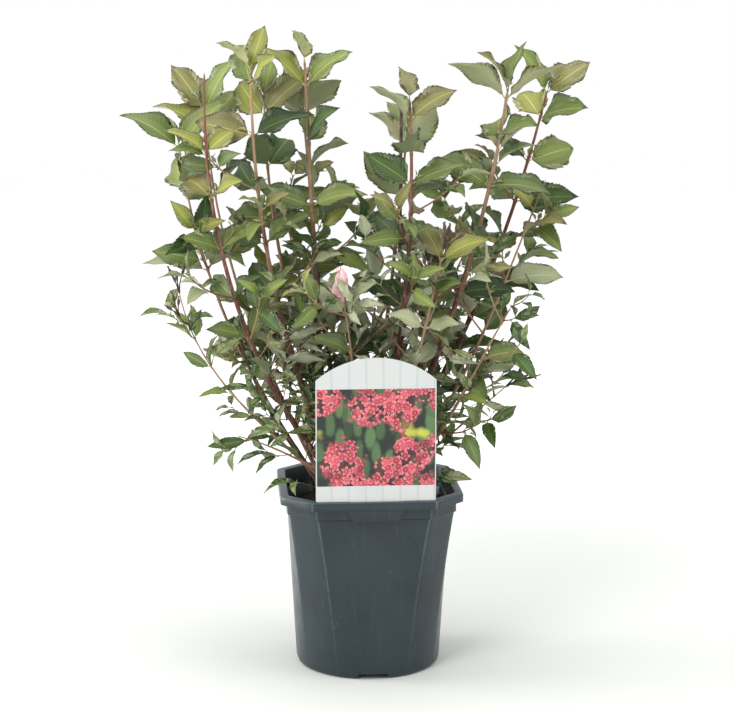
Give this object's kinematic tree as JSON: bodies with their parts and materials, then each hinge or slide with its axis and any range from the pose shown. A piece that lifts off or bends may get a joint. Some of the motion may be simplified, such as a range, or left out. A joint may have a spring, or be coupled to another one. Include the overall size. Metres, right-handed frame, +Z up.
{
  "type": "potted weigela shrub",
  "caption": "Young weigela shrub in a dark nursery pot: upright canes with paired leaves rise from a woody crown in the soil, with a plant label locked in the rim.",
  "frame": {"origin": "centre of the pot's flat underside, where it stands", "axes": "+Z up, -Y towards the front that carries the label, +X to the right as seen from the front"},
  "size_m": [0.5057, 0.2928, 0.6721],
  "materials": {
    "pot_plastic": "satin",
    "potting_soil": "rough",
    "label_card": "satin",
    "bark": "rough",
    "cane_bark": "satin",
    "foliage": "satin"
  },
  "bodies": {
    "root": {"pot": "pot_plastic", "soil": "potting_soil", "plant_label": "label_card", "crown": "bark", "cane_left_outer": "cane_bark", "cane_left_bare_tip": "cane_bark", "cane_left_back": "cane_bark", "cane_left_tall": "cane_bark", "cane_left_tall_back": "cane_bark", "cane_middle_tall": "cane_bark", "cane_middle_right": "cane_bark", "cane_right_tall": "cane_bark", "cane_right_outer": "cane_bark", "cane_right_thin": "cane_bark", "cane_right_front": "cane_bark", "cane_right_low": "cane_bark", "cane_right_lowest": "cane_bark", "cane_left_low": "cane_bark", "cane_left_arching": "cane_bark", "cane_front_low": "cane_bark", "cane_back_tall": "cane_bark", "cane_back_right_tall": "cane_bark", "cane_back_left_low": "cane_bark", "cane_back_right_low": "cane_bark", "foliage_left_outer": "foliage", "foliage_left_bare_tip": "foliage", "foliage_left_back": "foliage", "foliage_left_tall": "foliage", "foliage_left_tall_back": "foliage", "foliage_middle_tall": "foliage", "foliage_middle_right": "foliage", "foliage_right_tall": "foliage", "foliage_right_outer": "foliage", "foliage_right_thin": "foliage", "foliage_right_front": "foliage", "foliage_right_low": "foliage", "foliage_right_lowest": "foliage", "foliage_left_low": "foliage", "foliage_left_arching": "foliage", "foliage_front_low": "foliage", "foliage_back_tall": "foliage", "foliage_back_right_tall": "foliage", "foliage_back_left_low": "foliage", "foliage_back_right_low": "foliage"}
  },
  "joints": []
}
